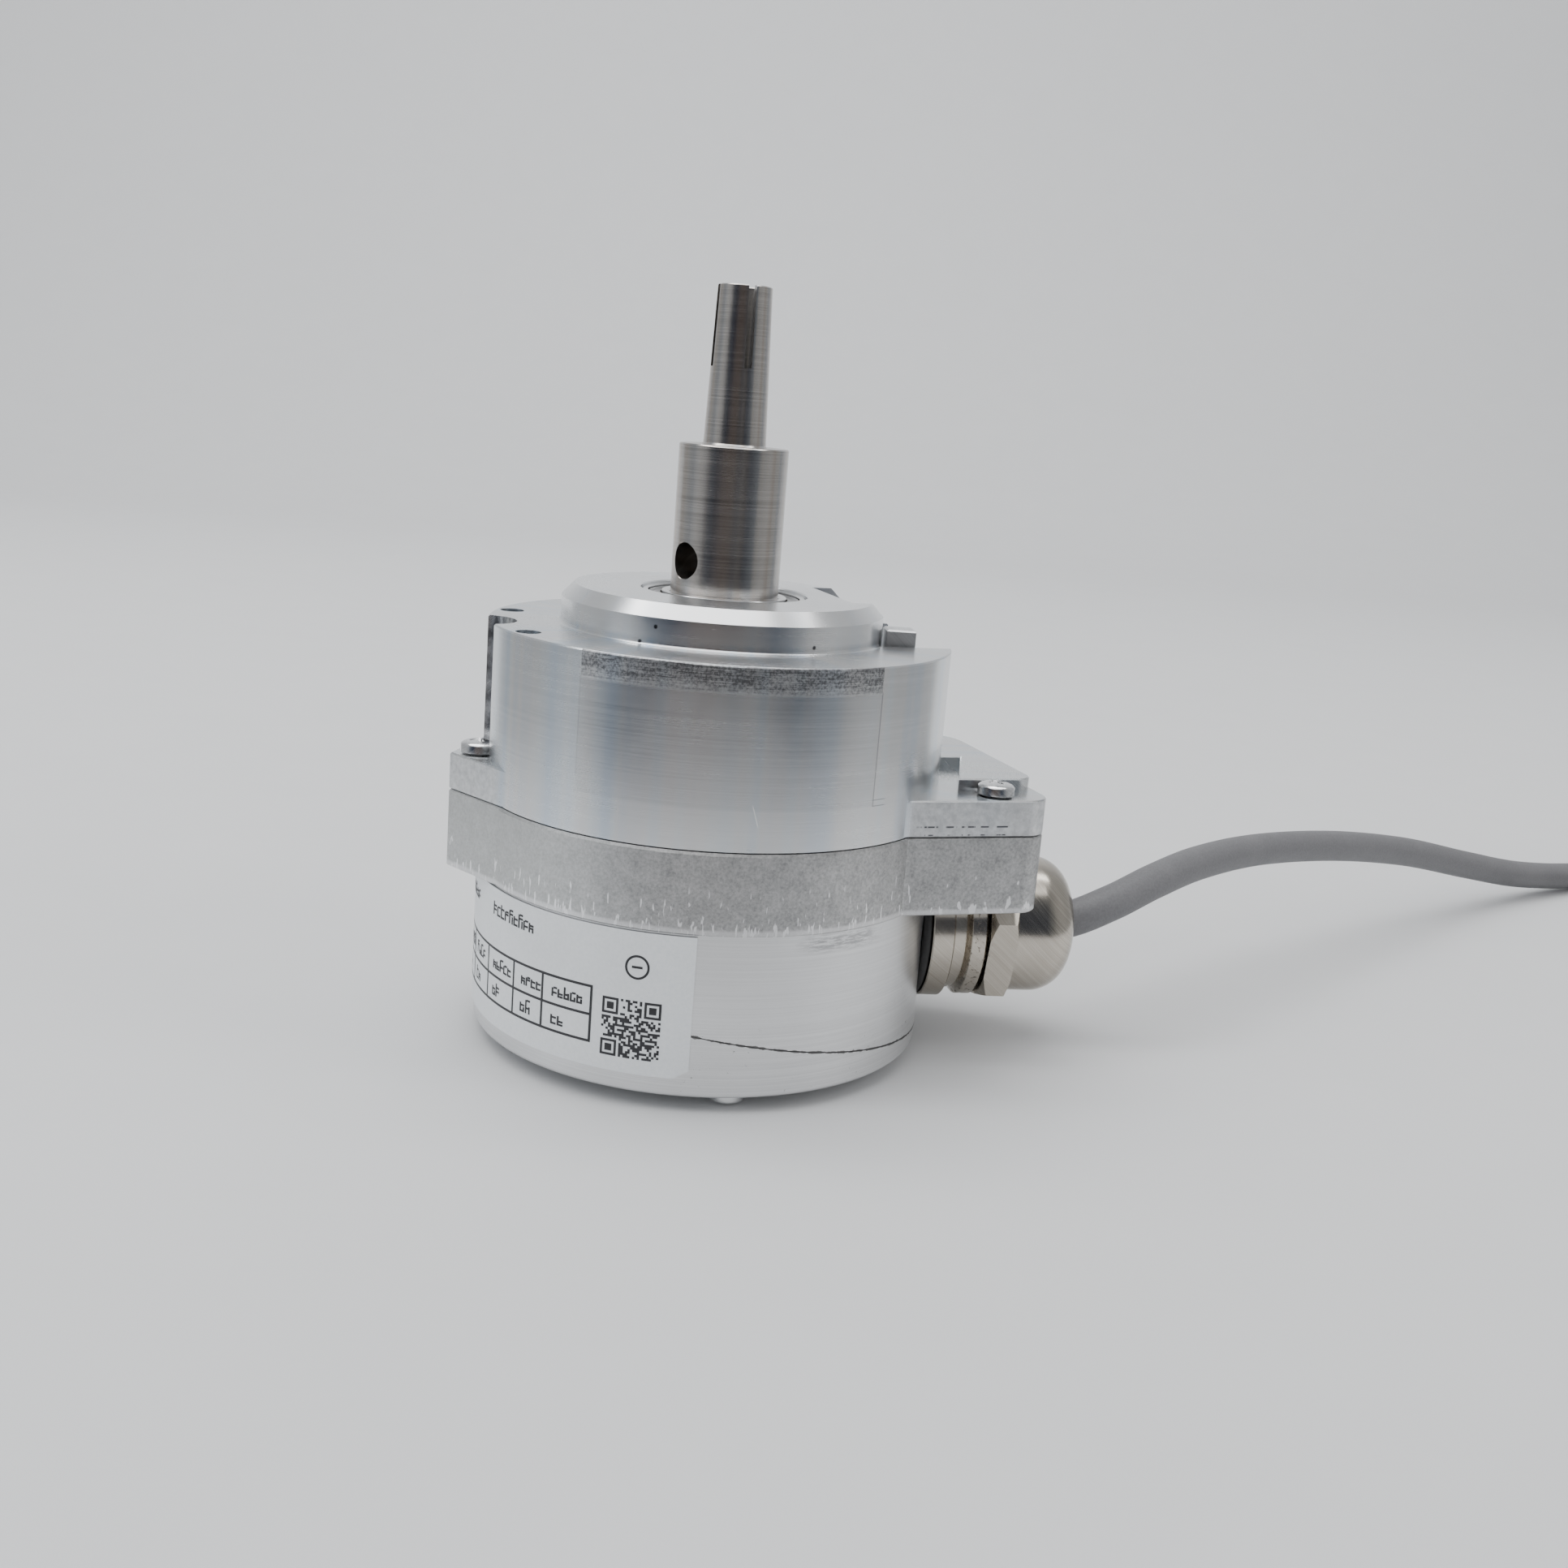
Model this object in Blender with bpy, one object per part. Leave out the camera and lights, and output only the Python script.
"""Rotary encoder with a slotted taper shaft, clamp flange, two fixing lugs and a side cable.

Metres, +Z up along the shaft. The origin is the centre of the rear cover's outer face.
"""
import bpy
import bmesh
from math import acos, atan2, cos, hypot, pi, radians, sin, sqrt
from mathutils import Vector
from mathutils.geometry import interpolate_bezier

# ---- clearances ----
GAP = 0.0003                  # between pieces that touch
HAIR = 0.00015                # between a pin or screw and its snug hole
OVERRUN = 0.004               # how far a cutter runs past the surface it opens
BODY_SIDES = 48               # facets round the housings
RING_SIDES = 32               # facets round rings, seals and the shaft
BEARING_SIDES = 26
RING_OFFSET = 0.37            # part of a step that turned points start at, clear of hole centres

# ---- heights along the shaft axis ----
EAR_BOTTOM = 0.0249           # underside of the rear housing's thick ring and lugs
HOUSING_SEAM = 0.0372         # joint between the front and the rear housing
EAR_TOP = 0.0430
PLATFORM_STEP = 0.0018        # raised pad on the wide lug
FLANGE_FACE = 0.0639
SPIGOT_HEIGHT = 0.0061
SPIGOT_CHAMFER = 0.0019
NOTCH_WALL = 0.0180           # slot across the spigot's rim, in the wide lug's direction
NOTCH_WIDTH = 0.0190
NOTCH_DEPTH = 0.0030
KEY_SLOT_WIDTH = 0.0270       # slot across the flange, from the spigot's foot outwards
KEY_SLOT_DEPTH = 0.0040
KEY_SIZE = (0.0046, 0.0046, 0.0061)
SHOULDER_HEIGHT = 0.0924      # top of the thick part of the shaft
TAPER_LENGTH = 0.0238
SHAFT_FOOT = 0.0310

# ---- housings ----
BODY_RADIUS = 0.0364
RING_RADIUS = BODY_RADIUS + 0.0003   # the cast ring of the rear housing stands a little proud
SPIGOT_RADIUS = 0.0253
CAVITY_RADIUS = BODY_RADIUS - 0.0040
CAVITY_ROOF = 0.0410
SEAL_CIRCLE = BODY_RADIUS - 0.0020   # O-ring in the joint between the housings
SEAL_SECTION = 0.0007
COVER_FLOOR = 0.0024
COVER_EDGE = 0.0008
SEAM_HEIGHT = 0.0078          # slanting joint of the rear cover, measured on the axis
SEAM_TILT = radians(9.5)

# ---- wide lug, drawn square to its own direction ----
BOSS_ANGLE = radians(16.6)
BOSS_FACE = BODY_RADIUS - 0.0079     # half-width towards its fixing screw
BOSS_REACH = BODY_RADIUS + 0.0106
BOSS_CORNER = 0.0040
BOSS_BACK = 0.0070            # where its end face starts to turn back
BOSS_BACK_CORNER = 0.0060
BOSS_FILLET = 0.0030
BOSS_SCREW = (BODY_RADIUS + 0.0021, 0.0036 - BOSS_FACE)
POCKET_WALL = BOSS_FACE - 0.0071
POCKET_INNER = (BOSS_REACH - 0.0133, BOSS_REACH - 0.0059)
POCKET_BACK = 0.0053

# ---- narrow lug ----
LUG_ANGLE = radians(-136.6)   # direction that its flat side faces
LUG_FACE = BODY_RADIUS - 0.0006
LUG_REACH = BODY_RADIUS - 0.0154
LUG_END_LENGTH = 0.0140
LUG_END_ANGLE = radians(77.6)
LUG_SCREW = (0.0002 - BODY_RADIUS, -0.0085)
SCALLOP_RADIUS = 0.0050

# ---- screws ----
SCREW_RADIUS = 0.0015
SCREW_HEAD_RADIUS = 0.00285
SCREW_HEAD_HEIGHT = 0.0021
EAR_SCREW_LENGTH = 0.0160
COVER_SCREW_LENGTH = 0.0100
COVER_SCREW_CIRCLE = CAVITY_RADIUS - 0.0009
COVER_SCREW_ANGLES = tuple(radians(a) for a in (-80, 40, 160))
COVER_SPOT_DEPTH = 0.00015     # shallow spot face that each of their heads sits in
PILLAR_RADIUS = 0.0040
PILLAR_TOP = 0.0200
TAPPED_RADIUS = 0.0019
TAPPED_CIRCLE = BODY_RADIUS - 0.0026
TAPPED_ANGLES = (radians(173), radians(-146.5))
TAPPED_DEPTH = 0.0080

# ---- shaft and bearings ----
SHAFT_RADIUS = 0.0085
TAPER_TIP_RADIUS = 0.00415
TAPER_ROOT_RADIUS = 0.00485
SHAFT_BORE = 0.0030
BORE_DEPTH = 0.0330
SLOT_WIDTH = 0.0012
SLOT_LENGTH = 0.0121
SLOT_ANGLE = radians(16)
CROSS_HOLE_RADIUS = 0.0028
CROSS_HOLE_HEIGHT = 0.0747
CROSS_HOLE_ANGLE = radians(-140)
CROSS_HOLE_DEPTH = 0.0090
HUB_SEAT_RADIUS = 0.0060
BEARING_WIDTH = 0.0050
BEARING_OUTER = SHAFT_RADIUS + 0.0045
BEARING_INNER_LAND = SHAFT_RADIUS + 0.00135
BEARING_OUTER_LAND = BEARING_OUTER - 0.00135
BALL_RADIUS = 0.00105
BALL_COUNT = 11
RECESS = 0.0004               # bearing face below the spigot face
REAR_BEARING_FOOT = 0.0435
LIP_RADIUS = BEARING_OUTER - 0.0012
CLIP_THICKNESS = 0.0010
CLIP_RADIUS = SHAFT_RADIUS + 0.0018
CLIP_GROOVE = 0.0007

# ---- reading parts ----
DISC_RADIUS = 0.0210
DISC_THICKNESS = 0.0012
DISC_FOOT = 0.0316
HUB_RADIUS = 0.0100
HUB_TOP = 0.0395
BOARD_RADIUS = 0.0285
BOARD_HEIGHT = 0.0245
BOARD_THICKNESS = 0.0016
STANDOFF_CIRCLE = 0.0256
STANDOFF_RADIUS = 0.0023
STANDOFF_ANGLES = tuple(radians(a) for a in (90, 210, 330))
READER_ANGLE = radians(150)

# ---- cable gland, turned about its own axis, heights measured from the shaft axis ----
GLAND_ANGLE = radians(6)
GLAND_HEIGHT = 0.0172
GLAND_SEAT = BODY_RADIUS - 0.0020
GLAND_RELIEF = 0.0144
ORING_WIDTH = 0.0015
COLLAR_RADIUS = 0.0126
COLLAR_LENGTH = 0.0036
NECK_RADIUS = 0.0114
NECK_LENGTH = 0.0028
FLANGE_RADIUS = 0.0122
FLANGE_LENGTH = 0.0028
THREAD_RADIUS = 0.0100
GLAND_BORE = 0.0068
NUT_FLATS = 0.0240
NUT_LENGTH = 0.0046
NUT_TURN = radians(15)
DOME_RADIUS = 0.0114
DOME_LENGTH = 0.0112
DOME_ROUND = 0.0062
DOME_MOUTH = 0.0042

# ---- cable ----
CABLE_RADIUS = 0.0031
TABLE = -0.0023               # what the cover's screw heads stand on
ROUTE = (
    (0.0440, 0.0046, 0.0172), (0.0530, 0.0056, 0.0173), (0.0615, 0.0065, 0.0178),
    (0.0700, 0.0098, 0.0205), (0.0790, 0.0168, 0.0230), (0.0900, 0.0280, 0.0240),
    (0.1060, 0.0445, 0.0230), (0.1280, 0.0640, 0.0200), (0.1520, 0.0850, 0.0147),
    (0.1740, 0.1020, 0.0085), (0.1930, 0.1150, 0.0038), (0.2130, 0.1275, 0.0012),
    (0.2300, 0.1385, 0.0009), (0.2390, 0.1450, 0.0009),
)
COIL_CENTRE = (0.2680, 0.1080)
COIL_RADIUS = 0.0340
COIL_COLUMNS = 3
COIL_ROWS = 2
TIE_ANGLE = radians(-60)
TIE_WIDTH = 0.0036
TIE_THICKNESS = 0.0009
LEADS_ANGLE = radians(-150)
LEADS_LENGTH = 0.0300

# ---- label ----
LABEL_THICKNESS = 0.0002
LABEL_HEIGHTS = (0.0030, 0.0246)
LABEL_START = radians(-90.5)
LABEL_SWEEP = radians(-138)

PLATFORM_TOP = EAR_TOP + PLATFORM_STEP
SPIGOT_FACE = FLANGE_FACE + SPIGOT_HEIGHT
TAPER_TOP = SHOULDER_HEIGHT + TAPER_LENGTH
FRONT_BEARING_FOOT = SPIGOT_FACE - RECESS - BEARING_WIDTH
LIP_TOP = FRONT_BEARING_FOOT - GAP
LIP_FOOT = REAR_BEARING_FOOT + BEARING_WIDTH + 0.0017
CLIP_FOOT = REAR_BEARING_FOOT - GAP - CLIP_THICKNESS
BOARD_TOP = BOARD_HEIGHT + BOARD_THICKNESS


# ---------------------------------------------------------------- materials
def finish(name, colour, roughness, metallic=0.0, alpha=1.0):
    material = bpy.data.materials.new(name)
    material.use_nodes = True
    shader = material.node_tree.nodes["Principled BSDF"]
    shader.inputs["Base Color"].default_value = (*colour, 1.0)
    shader.inputs["Roughness"].default_value = roughness
    shader.inputs["Metallic"].default_value = metallic
    shader.inputs["Alpha"].default_value = alpha
    material.diffuse_color = (*colour, 1.0)
    return material


def make_finishes():
    return {
        "aluminium": finish("turned_aluminium", (0.72, 0.73, 0.74), 0.34, 1.0),
        "cast": finish("cast_aluminium", (0.60, 0.61, 0.61), 0.52, 1.0),
        "cover": finish("satin_aluminium", (0.68, 0.69, 0.70), 0.42, 1.0),
        "stainless": finish("stainless_steel", (0.48, 0.46, 0.44), 0.30, 1.0),
        "bearing": finish("bearing_steel", (0.62, 0.62, 0.62), 0.18, 1.0),
        "zinc": finish("zinc_plated_screw", (0.74, 0.74, 0.73), 0.20, 1.0),
        "nickel": finish("nickel_plated_brass", (0.58, 0.54, 0.47), 0.28, 1.0),
        "brass": finish("bare_brass", (0.70, 0.52, 0.24), 0.32, 1.0),
        "spring": finish("spring_steel", (0.36, 0.36, 0.38), 0.30, 1.0),
        "rubber": finish("black_rubber", (0.02, 0.02, 0.02), 0.65),
        "plastic": finish("black_plastic", (0.03, 0.03, 0.03), 0.50),
        "board": finish("green_board", (0.02, 0.17, 0.07), 0.45),
        "glass": finish("coated_glass", (0.55, 0.60, 0.62), 0.08, 0.0, 0.6),
        "paper": finish("label_film", (0.80, 0.81, 0.82), 0.40),
        "jacket": finish("grey_cable_jacket", (0.20, 0.20, 0.21), 0.55),
        "leads": finish("lead_insulation", (0.42, 0.20, 0.10), 0.50),
    }


# ---------------------------------------------------------------- modelling helpers
def add_object(name, mesh, material, smooth=True):
    obj = bpy.data.objects.new(name, mesh)
    bpy.context.scene.collection.objects.link(obj)
    if material:
        mesh.materials.append(material)
    if smooth:
        mesh.shade_smooth()
        mesh.set_sharp_from_angle(angle=radians(32))
    return obj


def mesh_from(bm, name):
    bmesh.ops.recalc_face_normals(bm, faces=bm.faces)
    mesh = bpy.data.meshes.new(name)
    bm.to_mesh(mesh)
    bm.free()
    return mesh


def turned(name, material, outline, segments=48):
    """A solid turned about local Z from a closed outline of (radius, height) points."""
    bm = bmesh.new()
    rings = []
    for radius, height in outline:
        count = segments if radius > 1e-7 else 1
        turns = [2 * pi * (i + RING_OFFSET) / segments for i in range(count)]
        rings.append([bm.verts.new((radius * cos(t), radius * sin(t), height)) for t in turns])
    for low, high in zip(rings, rings[1:] + rings[:1]):
        if len(low) == len(high) == 1:
            continue
        for i in range(segments):
            j = (i + 1) % segments
            corners = (low[i % len(low)], low[j % len(low)], high[j % len(high)], high[i % len(high)])
            bm.faces.new(list(dict.fromkeys(corners)))
    return add_object(name, mesh_from(bm, name), material)


def extruded(name, material, outline, bottom, top, smooth=True):
    """A straight prism over a flat outline of (x, y) points."""
    bm = bmesh.new()
    low = [bm.verts.new((x, y, bottom)) for x, y in outline]
    high = [bm.verts.new((x, y, top)) for x, y in outline]
    bm.faces.new(low)
    bm.faces.new(high)
    for i, vertex in enumerate(low):
        j = (i + 1) % len(low)
        bm.faces.new((vertex, low[j], high[j], high[i]))
    return add_object(name, mesh_from(bm, name), material, smooth)


def block(name, material, size, centre):
    x, y = size[0] / 2, size[1] / 2
    outline = ((-x, -y), (x, -y), (x, y), (-x, y))
    obj = extruded(name, material, outline, -size[2] / 2, size[2] / 2, smooth=False)
    obj.location = centre
    return obj


def rod(name, radius, bottom, top, material=None, segments=12):
    return turned(name, material, ((0, bottom), (radius, bottom), (radius, top), (0, top)), segments)


def combine(target, tool, operation):
    tool.hide_render = True
    tool.display_type = "WIRE"
    tool.hide_set(True)
    modifier = target.modifiers.new(tool.name, "BOOLEAN")
    modifier.object = tool
    modifier.operation = operation
    modifier.solver = "EXACT"


def cut(target, *tools):
    for tool in tools:
        combine(target, tool, "DIFFERENCE")


def join(target, *tools):
    for tool in tools:
        combine(target, tool, "UNION")


def arc(centre, radius, start, end, steps):
    """Points on a circle from one angle to another, both ends included."""
    turns = (start + (end - start) * i / steps for i in range(steps + 1))
    return [(centre[0] + radius * cos(t), centre[1] + radius * sin(t)) for t in turns]


def polar(radius, angle, height=0.0):
    return (radius * cos(angle), radius * sin(angle), height)


def turn_about_gland(obj):
    """Lays a piece turned about Z along the gland's axis."""
    obj.rotation_euler = (0, pi / 2, GLAND_ANGLE)
    obj.location = (0, 0, GLAND_HEIGHT)
    return obj


# ---------------------------------------------------------------- outlines shared by both housings
def boss_outline():
    """The wide lug: square front and end, rounded corners, back side running onto the body."""
    swell = BODY_RADIUS + BOSS_FILLET
    down = BOSS_FACE + BOSS_FILLET
    heel = (sqrt(swell ** 2 - down ** 2), -down)
    to_body = atan2(-heel[1], -heel[0])
    points = [(0.0200, -0.0200)]
    points += arc(heel, BOSS_FILLET, to_body, pi / 2, 4)
    corner = (BOSS_REACH - BOSS_CORNER, -BOSS_FACE + BOSS_CORNER)
    points += arc(corner, BOSS_CORNER, -pi / 2, 0, 6)
    points += boss_back()
    return points


def boss_back():
    """End of the lug's outer side, its blunt back corner and the run onto the body."""
    centre = (BOSS_REACH - BOSS_BACK_CORNER, BOSS_BACK)
    spread = acos((BODY_RADIUS - BOSS_BACK_CORNER) / hypot(*centre))
    tangent = atan2(centre[1], centre[0]) + spread
    body = polar(BODY_RADIUS, tangent)
    return arc(centre, BOSS_BACK_CORNER, 0, tangent, 5) + [body[:2], (0.0, 0.0240)]


def platform_outline():
    """The raised pad: the lug's outline less the pocket round its screw."""
    rounding = BOSS_CORNER - 0.0010
    corner = (BOSS_REACH - rounding, -POCKET_WALL + rounding)
    points = [(0.0240, -POCKET_BACK), (POCKET_INNER[1], -POCKET_BACK), (POCKET_INNER[0], -POCKET_WALL)]
    return points + arc(corner, rounding, -pi / 2, 0, 4) + boss_back()


def lug_outline():
    """The narrow lug: a flat side nearly level with the body, a short end and a tapering back."""
    facing = Vector((cos(LUG_ANGLE), sin(LUG_ANGLE)))
    along = Vector((sin(LUG_ANGLE), -cos(LUG_ANGLE)))
    first = facing * LUG_FACE + along * LUG_REACH
    second = first + Vector((cos(LUG_END_ANGLE), sin(LUG_END_ANGLE))) * LUG_END_LENGTH
    tangent = atan2(second.y, second.x) - acos(BODY_RADIUS / second.length)
    body = polar(BODY_RADIUS, tangent)
    face = [tuple(facing * LUG_FACE), tuple(first), tuple(second)]
    return face + [body[:2], (-0.0150, 0.0), (-0.0100, -0.0180)]


def add_lugs(housing, bottom, top, tag):
    boss = extruded("boss_" + tag, None, boss_outline(), bottom, top)
    boss.rotation_euler.z = BOSS_ANGLE
    join(housing, boss, extruded("lug_" + tag, None, lug_outline(), bottom, top))


def boss_point(along, across, height):
    return (along * cos(BOSS_ANGLE) - across * sin(BOSS_ANGLE),
            along * sin(BOSS_ANGLE) + across * cos(BOSS_ANGLE), height)


def ear_screw_places():
    return (("left", (*LUG_SCREW, EAR_TOP)), ("right", boss_point(*BOSS_SCREW, EAR_TOP)))


def below_slant(name, lift):
    """A block whose top is the slanting joint plane, raised by lift."""
    half = 0.08
    outline = ((-half, -half), (half, -half), (half, half), (-half, half))
    obj = extruded(name, None, outline, -half, 0, smooth=False)
    obj.rotation_euler = (0, SEAM_TILT, BOSS_ANGLE)
    obj.location.z = SEAM_HEIGHT + lift
    return obj


def above_slant(name, lift):
    obj = below_slant(name, lift)
    obj.rotation_euler = (pi, SEAM_TILT, BOSS_ANGLE)
    return obj


# ---------------------------------------------------------------- housings
def build_front_housing(finishes):
    spigot_top = SPIGOT_RADIUS - SPIGOT_CHAMFER
    fillet = arc((SPIGOT_RADIUS + 0.0006, FLANGE_FACE + 0.0006), 0.0006, -pi / 2, -pi, 2)
    outline = [(0, HOUSING_SEAM + GAP / 2), (BODY_RADIUS, HOUSING_SEAM + GAP / 2)]
    outline += [(BODY_RADIUS, FLANGE_FACE - 0.0003), (BODY_RADIUS - 0.0003, FLANGE_FACE)]
    outline += fillet
    outline += [(SPIGOT_RADIUS, SPIGOT_FACE - SPIGOT_CHAMFER), (spigot_top, SPIGOT_FACE), (0, SPIGOT_FACE)]
    housing = turned("front_housing", finishes["aluminium"], outline, BODY_SIDES)
    add_lugs(housing, HOUSING_SEAM + GAP / 2, EAR_TOP, "front")
    platform = extruded("platform", None, platform_outline(), EAR_TOP - 0.001, PLATFORM_TOP)
    platform.rotation_euler.z = BOSS_ANGLE
    join(housing, platform)

    fit = BEARING_OUTER + HAIR
    cavity = [(0, HOUSING_SEAM - OVERRUN), (CAVITY_RADIUS, HOUSING_SEAM - OVERRUN)]
    cavity += [(CAVITY_RADIUS, CAVITY_ROOF), (fit, CAVITY_ROOF), (fit, LIP_FOOT), (LIP_RADIUS, LIP_FOOT)]
    cavity += [(LIP_RADIUS, LIP_TOP), (fit, LIP_TOP), (fit, SPIGOT_FACE + OVERRUN)]
    cavity += [(0, SPIGOT_FACE + OVERRUN)]
    cut(housing, turned("cavity", None, cavity, RING_SIDES))
    inner, outer = SEAL_CIRCLE - SEAL_SECTION - HAIR, SEAL_CIRCLE + SEAL_SECTION + HAIR
    groove_top = HOUSING_SEAM + 2 * SEAL_SECTION + 2 * HAIR
    groove = [(inner, HOUSING_SEAM - OVERRUN), (outer, HOUSING_SEAM - OVERRUN)]
    groove += [(outer, groove_top), (inner, groove_top)]
    cut(housing, turned("seal_groove", None, groove, RING_SIDES))

    scallop = rod("scallop", SCALLOP_RADIUS, EAR_TOP, FLANGE_FACE + OVERRUN, segments=24)
    scallop.location = (*LUG_SCREW, 0)
    cut(housing, scallop)
    for side, place in ear_screw_places():
        hole = rod("front_hole_" + side, SCREW_RADIUS + HAIR, -0.009, OVERRUN)
        hole.location = place
        cut(housing, hole)
    for i, angle in enumerate(TAPPED_ANGLES):
        floor = FLANGE_FACE - TAPPED_DEPTH
        hole = rod("tapped_%d" % i, TAPPED_RADIUS, floor, FLANGE_FACE + OVERRUN, segments=16)
        hole.location = polar(TAPPED_CIRCLE, angle)
        cut(housing, hole)
    reach = SPIGOT_RADIUS - NOTCH_WALL + OVERRUN
    place = polar(NOTCH_WALL + reach / 2, BOSS_ANGLE, SPIGOT_FACE)
    notch = block("rim_notch", None, (reach, NOTCH_WIDTH, 2 * NOTCH_DEPTH), place)
    notch.rotation_euler.z = BOSS_ANGLE
    key_slot = block("key_slot", None, (BODY_RADIUS, KEY_SLOT_WIDTH, 2 * KEY_SLOT_DEPTH),
                     polar(NOTCH_WALL + BODY_RADIUS / 2, BOSS_ANGLE, FLANGE_FACE))
    key_slot.rotation_euler.z = BOSS_ANGLE
    core = rod("spigot_core", SPIGOT_RADIUS + HAIR, CAVITY_ROOF, SPIGOT_FACE + OVERRUN, segments=BODY_SIDES)
    cut(key_slot, core)
    cut(housing, notch, key_slot)
    return housing


def build_torque_key(finishes):
    """Small block standing in the flange's slot, beside the spigot."""
    foot = FLANGE_FACE - KEY_SLOT_DEPTH + GAP
    place = (SPIGOT_RADIUS + KEY_SIZE[0] / 2 + 0.0004, -0.0019, foot + KEY_SIZE[2] / 2)
    key = block("torque_key", finishes["aluminium"], KEY_SIZE, place)
    key.rotation_euler.z = radians(3)
    bevel = key.modifiers.new("edges", "BEVEL")
    bevel.width = 0.0003
    bevel.segments = 2
    return key


def build_rear_housing(finishes):
    top = HOUSING_SEAM - GAP / 2
    step = 0.0004
    outline = [(0, -0.0050), (BODY_RADIUS, -0.0050), (BODY_RADIUS, EAR_BOTTOM), (RING_RADIUS, EAR_BOTTOM)]
    outline += [(RING_RADIUS, top - step), (BODY_RADIUS, top), (0, top)]
    housing = turned("rear_housing", finishes["cast"], outline, BODY_SIDES)
    add_lugs(housing, EAR_BOTTOM, top, "rear")
    hollow = rod("rear_hollow", CAVITY_RADIUS, -0.012, top + OVERRUN, segments=RING_SIDES)
    cut(housing, hollow, below_slant("rear_slant", GAP / 2))
    for i, angle in enumerate(COVER_SCREW_ANGLES):
        pillar = rod("pillar_%d" % i, PILLAR_RADIUS, COVER_FLOOR + GAP, PILLAR_TOP, segments=16)
        pillar.location = polar(COVER_SCREW_CIRCLE - 0.0012, angle)
        join(housing, pillar)
        hole = rod("pillar_hole_%d" % i, SCREW_RADIUS + HAIR, -OVERRUN, COVER_SCREW_LENGTH + 0.001)
        hole.location = polar(COVER_SCREW_CIRCLE, angle)
        cut(housing, hole)
    for side, place in ear_screw_places():
        hole = rod("rear_hole_" + side, SCREW_RADIUS + HAIR, EAR_TOP - EAR_SCREW_LENGTH - 0.001, EAR_TOP)
        hole.location = (place[0], place[1], 0)
        cut(housing, hole)
    thread = rod("gland_thread_hole", THREAD_RADIUS + HAIR, 0.0200, GLAND_SEAT + OVERRUN, segments=24)
    turn_about_gland(thread)
    relief = turn_about_gland(rod("gland_relief", GLAND_RELIEF, GLAND_SEAT, 0.0700, segments=RING_SIDES))
    cut(housing, thread, relief)
    return housing


def build_rear_cover(finishes):
    edge = arc((BODY_RADIUS - COVER_EDGE, COVER_EDGE), COVER_EDGE, -pi / 2, 0, 3)
    outline = [(0, 0)] + edge + [(BODY_RADIUS, 0.0250), (CAVITY_RADIUS + 0.0010, 0.0250)]
    outline += [(CAVITY_RADIUS + 0.0010, COVER_FLOOR), (0, COVER_FLOOR)]
    cover = turned("rear_cover", finishes["cover"], outline, BODY_SIDES)
    cut(cover, above_slant("cover_slant", -GAP / 2))
    for i, angle in enumerate(COVER_SCREW_ANGLES):
        hole = rod("cover_hole_%d" % i, SCREW_RADIUS + HAIR, -OVERRUN, COVER_FLOOR + OVERRUN)
        hole.location = polar(COVER_SCREW_CIRCLE, angle)
        spot = rod("cover_spot_%d" % i, SCREW_HEAD_RADIUS + GAP, -OVERRUN, COVER_SPOT_DEPTH)
        spot.location = polar(COVER_SCREW_CIRCLE, angle)
        relief = rod("pillar_room_%d" % i, PILLAR_RADIUS + GAP, COVER_FLOOR + GAP / 2, 0.0300, segments=16)
        relief.location = polar(COVER_SCREW_CIRCLE - 0.0012, angle)
        cut(cover, hole, spot, relief)
    return cover


def build_housing_seal(finishes):
    """O-ring in the front housing's groove, on the rear housing's rim."""
    centre = (SEAL_CIRCLE, HOUSING_SEAM + SEAL_SECTION)
    return turned("housing_seal", finishes["rubber"], arc(centre, SEAL_SECTION, 0, 5 * pi / 3, 5), RING_SIDES)


def build_label(finishes):
    """Thin plate bent round the rear housing and the cover, across their joint."""
    inner = BODY_RADIUS + HAIR
    end = LABEL_START + LABEL_SWEEP
    outline = arc((0, 0), inner, LABEL_START, end, 28)
    outline += arc((0, 0), inner + LABEL_THICKNESS, end, LABEL_START, 28)
    return extruded("label", finishes["paper"], outline, *LABEL_HEIGHTS)


# ---------------------------------------------------------------- screws
def pan_screw(name, material, length):
    """Pan-head screw: head above z = 0, thread below, cross recess in the head."""
    crown = 0.0009
    outline = [(0, -length), (SCREW_RADIUS - 0.0004, -length), (SCREW_RADIUS, -length + 0.0005)]
    outline += [(SCREW_RADIUS, 0), (SCREW_HEAD_RADIUS - 0.0001, 0), (SCREW_HEAD_RADIUS, 0.0002)]
    rise = SCREW_HEAD_HEIGHT - crown
    outline += [(SCREW_HEAD_RADIUS * cos(t), rise + crown * sin(t)) for t in (0, 0.7)]
    outline += [(0, SCREW_HEAD_HEIGHT)]
    screw = turned(name, material, outline, 14)
    for turn in (0, pi / 2):
        wing = (0.0030, 0.00075, 0.0024)
        blade = block("%s_recess_%d" % (name, round(turn)), None, wing, (0, 0, SCREW_HEAD_HEIGHT))
        blade.rotation_euler.z = turn
        blade.parent = screw
        cut(screw, blade)
    return screw


def build_screws(finishes):
    for side, place in ear_screw_places():
        screw = pan_screw("ear_screw_" + side, finishes["zinc"], EAR_SCREW_LENGTH)
        screw.location = (place[0], place[1], place[2] + HAIR)
        screw.rotation_euler.z = radians(25)
    for i, angle in enumerate(COVER_SCREW_ANGLES):
        screw = pan_screw("cover_screw_%d" % (i + 1), finishes["zinc"], COVER_SCREW_LENGTH)
        screw.location = polar(COVER_SCREW_CIRCLE, angle, -HAIR)
        screw.rotation_euler = (pi, 0, angle)


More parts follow.
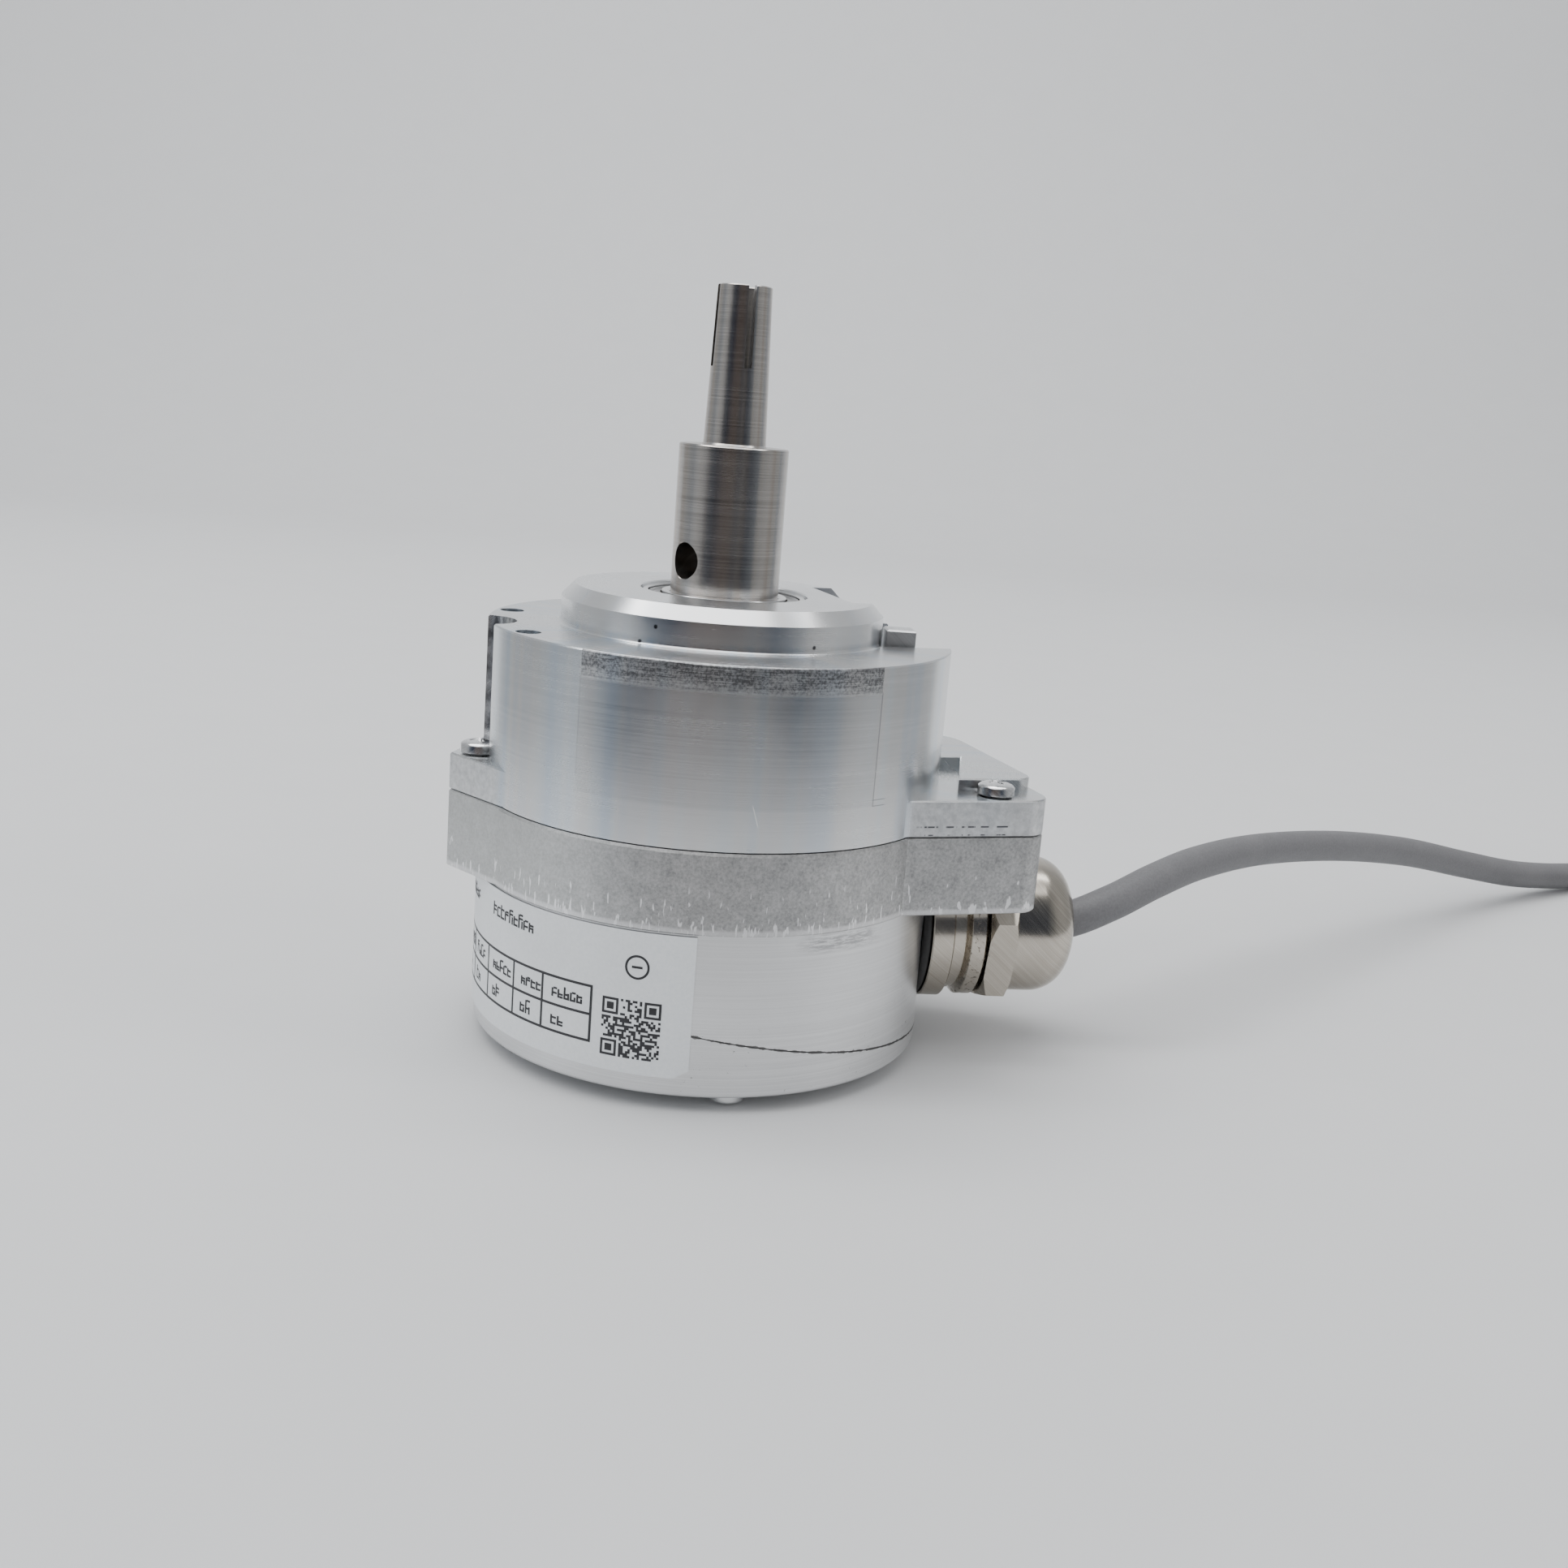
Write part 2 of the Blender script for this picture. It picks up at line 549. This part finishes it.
# ---------------------------------------------------------------- rotor
def build_shaft(finishes):
    """Stepped shaft: slotted hollow taper, thick journal with a cross hole, hub seat below."""
    clip_top = CLIP_FOOT + CLIP_THICKNESS + 0.0001
    outline = [(0, SHAFT_FOOT), (HUB_SEAT_RADIUS - 0.0004, SHAFT_FOOT)]
    outline += [(HUB_SEAT_RADIUS, SHAFT_FOOT + 0.0004)]
    outline += [(HUB_SEAT_RADIUS, HUB_TOP + GAP), (SHAFT_RADIUS, HUB_TOP + GAP)]
    outline += [(SHAFT_RADIUS, CLIP_FOOT - 0.0001), (SHAFT_RADIUS - CLIP_GROOVE, CLIP_FOOT - 0.0001)]
    outline += [(SHAFT_RADIUS - CLIP_GROOVE, clip_top), (SHAFT_RADIUS, clip_top)]
    outline += [(SHAFT_RADIUS, SHOULDER_HEIGHT - 0.0002), (SHAFT_RADIUS - 0.0002, SHOULDER_HEIGHT)]
    outline += [(TAPER_ROOT_RADIUS, SHOULDER_HEIGHT), (TAPER_TIP_RADIUS, TAPER_TOP - 0.0002)]
    outline += [(TAPER_TIP_RADIUS - 0.0002, TAPER_TOP), (0, TAPER_TOP)]
    shaft = turned("shaft", finishes["stainless"], outline, RING_SIDES)
    cut(shaft, rod("shaft_bore", SHAFT_BORE, TAPER_TOP - BORE_DEPTH, TAPER_TOP + OVERRUN, segments=20))
    for i in range(2):
        size = (0.0200, SLOT_WIDTH, SLOT_LENGTH + OVERRUN)
        slot = block("taper_slot_%d" % i, None, size, (0, 0, TAPER_TOP - SLOT_LENGTH + size[2] / 2))
        slot.rotation_euler.z = SLOT_ANGLE + i * pi / 2
        cut(shaft, slot)
    hole = rod("cross_hole", CROSS_HOLE_RADIUS, SHAFT_RADIUS - CROSS_HOLE_DEPTH, SHAFT_RADIUS + OVERRUN)
    hole.rotation_euler = (0, pi / 2, CROSS_HOLE_ANGLE)
    hole.location.z = CROSS_HOLE_HEIGHT
    cut(shaft, hole)
    return shaft


def build_bearing(tag, foot, finishes):
    """Shielded deep-groove ball bearing; its ball cage turns at its own speed."""
    middle = BEARING_WIDTH / 2
    pitch = (BEARING_INNER_LAND + BEARING_OUTER_LAND) / 2
    groove = BALL_RADIUS + 0.0002
    bore = SHAFT_RADIUS + HAIR
    ease = 0.0003
    reach = acos((pitch - BEARING_INNER_LAND) / groove)
    inward = arc((pitch, middle), groove, pi + reach, pi - reach, 3)
    inner = [(bore, ease), (bore + ease, 0), (BEARING_INNER_LAND, 0)] + inward
    inner += [(BEARING_INNER_LAND, BEARING_WIDTH), (bore + ease, BEARING_WIDTH), (bore, BEARING_WIDTH - ease)]
    outward = arc((pitch, middle), groove, reach, -reach, 3)
    seat = BEARING_OUTER_LAND + 0.0003
    ledge = 0.0010
    outer = [(BEARING_OUTER, BEARING_WIDTH - ease), (BEARING_OUTER - ease, BEARING_WIDTH)]
    outer += [(seat, BEARING_WIDTH)]
    outer += [(seat, BEARING_WIDTH - ledge), (BEARING_OUTER_LAND, BEARING_WIDTH - ledge)] + outward
    outer += [(BEARING_OUTER_LAND, ledge), (seat, ledge), (seat, 0)]
    outer += [(BEARING_OUTER - ease, 0), (BEARING_OUTER, ease)]
    pieces = [turned(tag + "_bearing_inner_ring", finishes["bearing"], inner, BEARING_SIDES),
              turned(tag + "_bearing_outer_ring", finishes["bearing"], outer, BEARING_SIDES),
              build_ball_cage(tag, pitch, middle, finishes)]
    for side, height in (("top", BEARING_WIDTH - 0.0006), ("bottom", 0.0003)):
        plate = [(BEARING_INNER_LAND + 0.0002, height), (seat - HAIR, height)]
        plate += [(seat - HAIR, height + GAP), (BEARING_INNER_LAND + 0.0002, height + GAP)]
        pieces.append(turned("%s_bearing_shield_%s" % (tag, side), finishes["bearing"], plate, BEARING_SIDES))
    for piece in pieces:
        piece.location.z += foot


def build_ball_cage(tag, pitch, middle, finishes):
    """A ring of balls held by a thin cage, made as one body."""
    web = 0.00035
    outline = [(pitch - web, middle - 0.0006), (pitch + web, middle - 0.0006)]
    outline += [(pitch + web, middle + 0.0006), (pitch - web, middle + 0.0006)]
    cage = turned(tag + "_bearing_ball_cage", finishes["brass"], outline, 2 * BALL_COUNT)
    for i in range(BALL_COUNT):
        bm = bmesh.new()
        bmesh.ops.create_icosphere(bm, subdivisions=1, radius=BALL_RADIUS)
        ball = add_object("%s_ball_%02d" % (tag, i), mesh_from(bm, "ball"), None)
        ball.location = polar(pitch, 2 * pi * i / BALL_COUNT, middle)
        ball.parent = cage
        join(cage, ball)
    return cage


def build_bearing_fittings(finishes):
    bore = SHAFT_RADIUS + HAIR
    low = REAR_BEARING_FOOT + BEARING_WIDTH + GAP
    sleeve = [(bore, low), (bore + 0.0012, low), (bore + 0.0012, LIP_TOP), (bore, LIP_TOP)]
    turned("bearing_spacer", finishes["cover"], sleeve, BEARING_SIDES)
    build_wave_spring(finishes)
    inner = SHAFT_RADIUS - CLIP_GROOVE + HAIR
    outline = arc((0, 0), CLIP_RADIUS, 0.22, 2 * pi - 0.22, 20) + arc((0, 0), inner, 2 * pi - 0.30, 0.30, 20)
    extruded("retaining_ring", finishes["spring"], outline, CLIP_FOOT, CLIP_FOOT + CLIP_THICKNESS)


def build_wave_spring(finishes):
    """Closed spring ring of three waves between the rear bearing and the housing lip."""
    low = REAR_BEARING_FOOT + BEARING_WIDTH + 0.00025
    height = LIP_FOOT - low - 0.00025 - GAP
    inside, outside = LIP_RADIUS + 0.0003, BEARING_OUTER - 0.0001
    bm = bmesh.new()
    rings = []
    steps = 30
    for i in range(steps):
        turn = 2 * pi * i / steps
        base = low + height * (0.5 + 0.5 * cos(3 * turn))
        section = ((inside, base), (outside, base), (outside, base + GAP), (inside, base + GAP))
        rings.append([bm.verts.new(polar(radius, turn, z)) for radius, z in section])
    for near, far in zip(rings, rings[1:] + rings[:1]):
        for i in range(4):
            j = (i + 1) % 4
            bm.faces.new((near[i], near[j], far[j], far[i]))
    return add_object("wave_spring", mesh_from(bm, "wave_spring"), finishes["spring"])


def build_reading_disc(finishes):
    bore = HUB_SEAT_RADIUS + HAIR
    disc_top = DISC_FOOT + DISC_THICKNESS
    spigot = 0.0078
    outline = [(bore, DISC_FOOT), (spigot, DISC_FOOT), (spigot, disc_top + GAP), (HUB_RADIUS, disc_top + GAP)]
    outline += [(HUB_RADIUS, HUB_TOP - 0.0004), (HUB_RADIUS - 0.0004, HUB_TOP), (bore, HUB_TOP)]
    hub = turned("disc_hub", finishes["brass"], outline, BEARING_SIDES)
    middle = (disc_top + HUB_TOP) / 2
    hole = rod("hub_hole", 0.0013 + HAIR, HUB_SEAT_RADIUS - 0.001, HUB_RADIUS + 0.002, segments=16)
    hole.rotation_euler = (0, pi / 2, 0)
    hole.location.z = middle
    cut(hub, hole)
    screw = rod("hub_set_screw", 0.0013, bore, HUB_RADIUS - 0.0002, finishes["spring"], segments=16)
    screw.rotation_euler = (0, pi / 2, 0)
    screw.location.z = middle
    socket = rod("set_screw_socket", 0.0007, HUB_RADIUS - 0.0015, HUB_RADIUS + 0.002, segments=6)
    socket.parent = screw
    cut(screw, socket)
    hole = spigot + HAIR
    ring = [(hole, DISC_FOOT), (DISC_RADIUS, DISC_FOOT), (DISC_RADIUS, disc_top), (hole, disc_top)]
    turned("code_disc", finishes["glass"], ring, RING_SIDES)


# ---------------------------------------------------------------- reading head and board
def build_board(finishes):
    board = rod("sensor_board", BOARD_RADIUS, BOARD_HEIGHT, BOARD_TOP, finishes["board"], segments=RING_SIDES)
    for i, angle in enumerate(STANDOFF_ANGLES):
        low, high = BOARD_HEIGHT - OVERRUN, BOARD_TOP + OVERRUN
        hole = rod("board_hole_%d" % i, 0.0011 + HAIR, low, high, segments=16)
        hole.location = polar(STANDOFF_CIRCLE, angle)
        cut(board, hole)
        foot, head = BOARD_TOP + GAP, CAVITY_ROOF - GAP
        outline = arc((0, 0), STANDOFF_RADIUS, 0, 5 * pi / 3, 5)
        pillar = extruded("board_standoff_%d" % (i + 1), finishes["brass"], outline, foot, head, smooth=False)
        pillar.location = polar(STANDOFF_CIRCLE, angle)
        socket = rod("standoff_hole_%d" % i, 0.0011 + HAIR, foot - OVERRUN, foot + 0.0050, segments=12)
        socket.location = polar(STANDOFF_CIRCLE, angle)
        cut(pillar, socket)
        low = BOARD_HEIGHT - HAIR
        stem = [(0, low - 0.0014), (0.0016, low - 0.0014), (0.0020, low - 0.0010)]
        stem += [(0.0020, low), (0.0011, low), (0.0011, foot + 0.0040), (0, foot + 0.0040)]
        screw = turned("board_screw_%d" % (i + 1), finishes["zinc"], stem, 16)
        screw.location = polar(STANDOFF_CIRCLE, angle)


def build_reader(finishes):
    """Sensor under the disc's tracks and the lamp bracket that reaches over the disc."""
    track = DISC_RADIUS - 0.0030
    sensor_top = DISC_FOOT - 0.0008
    base = BOARD_TOP + GAP
    sensor = block("sensor_module", finishes["plastic"], (0.0052, 0.0090, sensor_top - base),
                   polar(track - 0.0005, READER_ANGLE, (sensor_top + base) / 2))
    sensor.rotation_euler.z = READER_ANGLE
    arm_foot = DISC_FOOT + DISC_THICKNESS + 0.0012
    arm_top = arm_foot + 0.0030
    middle = DISC_RADIUS + 0.0010
    inner, outer = track - 0.0030 - middle, 0.0270 - middle
    step = DISC_RADIUS + 0.0008 - middle
    profile = ((outer, base), (outer, arm_top), (inner, arm_top))
    profile += ((inner, arm_foot), (step, arm_foot), (step, base))
    bracket = extruded("lamp_bracket", finishes["plastic"], profile, -0.0040, 0.0040, smooth=False)
    bracket.rotation_euler = (pi / 2, 0, READER_ANGLE)
    bracket.location = polar(middle, READER_ANGLE)
    hole = rod("lamp_hole", 0.0015 + HAIR, arm_foot - OVERRUN, arm_top + OVERRUN, segments=20)
    hole.location = polar(track, READER_ANGLE)
    cut(bracket, hole)
    foot = arm_foot + 0.0002
    dome = arc((0, foot + 0.0024), 0.0015, 0, pi / 2, 4)[:-1]
    lamp = turned("lamp", finishes["glass"], [(0, foot), (0.0015, foot)] + dome + [(0, foot + 0.0039)], 12)
    lamp.location = polar(track, READER_ANGLE)


def build_connector(finishes):
    top = BOARD_HEIGHT - GAP
    place = polar(0.0130, GLAND_ANGLE, top - 0.0030)
    connector = block("board_connector", finishes["paper"], (0.0060, 0.0150, 0.0060), place)
    connector.rotation_euler.z = GLAND_ANGLE
    start = polar(0.0160 + 2 * GAP, GLAND_ANGLE, top - 0.0030)
    gland = polar(0.0430, GLAND_ANGLE, GLAND_HEIGHT)
    bend = polar(0.0230, GLAND_ANGLE, top - 0.0030)
    bend_in = polar(0.0260, GLAND_ANGLE, GLAND_HEIGHT)
    curve = interpolate_bezier(Vector(start), Vector(bend), Vector(bend_in), Vector(gland), 12)
    cable_tube("inner_leads", finishes["leads"], curve, 0.0023)


# ---------------------------------------------------------------- gland
def build_gland(finishes):
    seat = GLAND_SEAT + HAIR
    collar = seat + ORING_WIDTH + HAIR
    neck = collar + COLLAR_LENGTH
    flange = neck + NECK_LENGTH
    nut = flange + FLANGE_LENGTH + GAP
    face = seat + ORING_WIDTH
    oring = [(THREAD_RADIUS + GAP, seat), (COLLAR_RADIUS - 0.0004, seat), (COLLAR_RADIUS, seat + 0.0004)]
    oring += [(COLLAR_RADIUS, face - 0.0004), (COLLAR_RADIUS - 0.0004, face), (THREAD_RADIUS + GAP, face)]
    turn_about_gland(turned("gland_oring", finishes["rubber"], oring, RING_SIDES))

    inside = 0.0312
    throat = THREAD_RADIUS - 0.0012
    body = [(GLAND_BORE, inside), (THREAD_RADIUS - 0.0005, inside), (THREAD_RADIUS, inside + 0.0005)]
    body += [(THREAD_RADIUS, collar), (COLLAR_RADIUS - 0.0002, collar), (COLLAR_RADIUS, collar + 0.0002)]
    body += [(COLLAR_RADIUS, neck - 0.0002), (NECK_RADIUS, neck + 0.0004)]
    body += [(NECK_RADIUS - 0.0003, flange - 0.0006), (FLANGE_RADIUS, flange)]
    body += [(FLANGE_RADIUS, nut - GAP - 0.0004), (FLANGE_RADIUS - 0.0004, nut - GAP)]
    body += [(throat, nut - GAP), (throat, nut + 0.0060), (GLAND_BORE, nut + 0.0060)]
    turn_about_gland(turned("gland_body", finishes["nickel"], body, RING_SIDES))
    build_gland_cap(finishes, nut, throat)

    seal_foot = nut - 0.0060
    seal_top = nut + 0.0090
    bore = CABLE_RADIUS + GAP
    seal = [(bore, seal_foot), (GLAND_BORE - HAIR, seal_foot), (GLAND_BORE - HAIR, seal_top - 0.0022)]
    seal += [(GLAND_BORE - 0.0014, seal_top), (bore, seal_top)]
    turn_about_gland(turned("gland_seal", finishes["rubber"], seal, 20))


def build_gland_cap(finishes, nut, throat):
    """Domed cap nut: hexagon against the body, round dome over the seal."""
    across = NUT_FLATS / sqrt(3)
    dome_top = nut + NUT_LENGTH + DOME_LENGTH
    round_centre = (DOME_RADIUS - DOME_ROUND, dome_top - DOME_ROUND)
    dome = [(0, nut + 0.0010), (DOME_RADIUS, nut + 0.0010)]
    dome += arc(round_centre, DOME_ROUND, 0, pi / 2, 5) + [(0, dome_top)]
    cap = turned("gland_cap", finishes["nickel"], dome, RING_SIDES)
    cone = [(0, nut), (across - 0.0014, nut), (across + 0.0001, nut + 0.0010)]
    nut_top = nut + NUT_LENGTH
    cone += [(across + 0.0001, nut_top - 0.0007), (across - 0.0012, nut_top), (0, nut_top)]
    chamfer = turned("nut_chamfer", None, cone, 24)
    across_corners = arc((0, 0), across, NUT_TURN, NUT_TURN + 5 * pi / 3, 5)
    hexagon = extruded("nut_flats", None, across_corners, nut - OVERRUN, nut + NUT_LENGTH + OVERRUN)
    combine(chamfer, hexagon, "INTERSECT")
    join(cap, chamfer)
    inside = throat + 0.0002
    seat = GLAND_BORE + 0.0002
    hollow = [(0, nut - OVERRUN), (inside, nut - OVERRUN), (inside, nut + 0.0064)]
    hollow += [(seat, nut + 0.0075), (seat, nut + 0.0096)]
    hollow += [(DOME_MOUTH, nut + 0.0130), (DOME_MOUTH, dome_top + OVERRUN)]
    hollow = turned("cap_hollow", None, hollow + [(0, dome_top + OVERRUN)], 24)
    cut(cap, hollow)
    for piece in (cap, chamfer, hexagon, hollow):
        turn_about_gland(piece)
    return cap


# ---------------------------------------------------------------- cable
def cable_tube(name, material, points, radius):
    curve = bpy.data.curves.new(name, "CURVE")
    curve.dimensions = "3D"
    curve.bevel_depth = radius
    curve.bevel_resolution = 2
    curve.use_fill_caps = True
    spline = curve.splines.new("POLY")
    spline.points.add(len(points) - 1)
    for target, point in zip(spline.points, points):
        target.co = (*point, 1)
    curve.materials.append(material)
    obj = bpy.data.objects.new(name, curve)
    bpy.context.scene.collection.objects.link(obj)
    return obj


def smooth_route(points, steps=2):
    """Catmull-Rom curve through the route's points."""
    route = [Vector(p) for p in points]
    ends = [2 * route[0] - route[1]] + route + [2 * route[-1] - route[-2]]
    out = []
    for a, b, c, d in zip(ends, ends[1:], ends[2:], ends[3:]):
        span = interpolate_bezier(b, b + (c - a) / 6, c - (d - b) / 6, c, steps + 1)
        out += span[:-1]
    return out + [route[-1]]


def build_cable(finishes):
    jacket = finishes["jacket"]
    cable_tube("cable", jacket, smooth_route(ROUTE), CABLE_RADIUS)
    pitch = 2 * CABLE_RADIUS
    half = COIL_COLUMNS * CABLE_RADIUS
    foot = TABLE + TIE_THICKNESS + GAP + HAIR
    top = foot + COIL_ROWS * pitch
    bevel = 0.0020
    inner, outer = COIL_RADIUS - half, COIL_RADIUS + half
    section = [(inner + bevel, foot), (outer - bevel, foot), (outer, foot + bevel), (outer, top - bevel)]
    section += [(outer - bevel, top), (inner + bevel, top), (inner, top - bevel), (inner, foot + bevel)]
    coil = turned("cable_coil", jacket, section, RING_SIDES)
    coil.location = (*COIL_CENTRE, 0)

    low, high = foot - GAP, top + GAP
    near, far = inner - GAP, outer + GAP
    tie_outline = ((near - TIE_THICKNESS, low - TIE_THICKNESS), (far + TIE_THICKNESS, low - TIE_THICKNESS),
                   (far + TIE_THICKNESS, high + TIE_THICKNESS), (near - TIE_THICKNESS, high + TIE_THICKNESS))
    tie = extruded("cable_tie", finishes["plastic"], tie_outline, -TIE_WIDTH / 2, TIE_WIDTH / 2, smooth=False)
    corners = ((near, low), (far, low), (far, high), (near, high))
    hole = extruded("tie_hole", None, corners, -TIE_WIDTH, TIE_WIDTH)
    for piece in (tie, hole):
        piece.rotation_euler = (pi / 2, 0, TIE_ANGLE)
        piece.location = (*COIL_CENTRE, 0)
    cut(tie, hole)

    start = outer + GAP
    side = polar(1, LEADS_ANGLE)
    run = polar(1, LEADS_ANGLE - pi / 2)
    heart = Vector((*COIL_CENTRE, TABLE + CABLE_RADIUS + HAIR))
    begin = heart + Vector(side) * (start + CABLE_RADIUS)
    taper = [(0, 0), (CABLE_RADIUS, 0), (CABLE_RADIUS, 0.0040), (0.0022, 0.0080)]
    taper += [(0.0026, LEADS_LENGTH - 0.002)]
    taper += [(0.0016, LEADS_LENGTH), (0, LEADS_LENGTH)]
    leads = turned("cable_leads", finishes["leads"], taper, 14)
    leads.rotation_euler = (0, pi / 2, atan2(run[1], run[0]))
    leads.location = begin


def main():
    for obj in list(bpy.data.objects):
        bpy.data.objects.remove(obj, do_unlink=True)
    finishes = make_finishes()
    build_front_housing(finishes)
    build_torque_key(finishes)
    build_rear_housing(finishes)
    build_rear_cover(finishes)
    build_housing_seal(finishes)
    build_label(finishes)
    build_screws(finishes)
    build_shaft(finishes)
    build_bearing("front", FRONT_BEARING_FOOT, finishes)
    build_bearing("rear", REAR_BEARING_FOOT, finishes)
    build_bearing_fittings(finishes)
    build_reading_disc(finishes)
    build_board(finishes)
    build_reader(finishes)
    build_connector(finishes)
    build_gland(finishes)
    build_cable(finishes)


main()
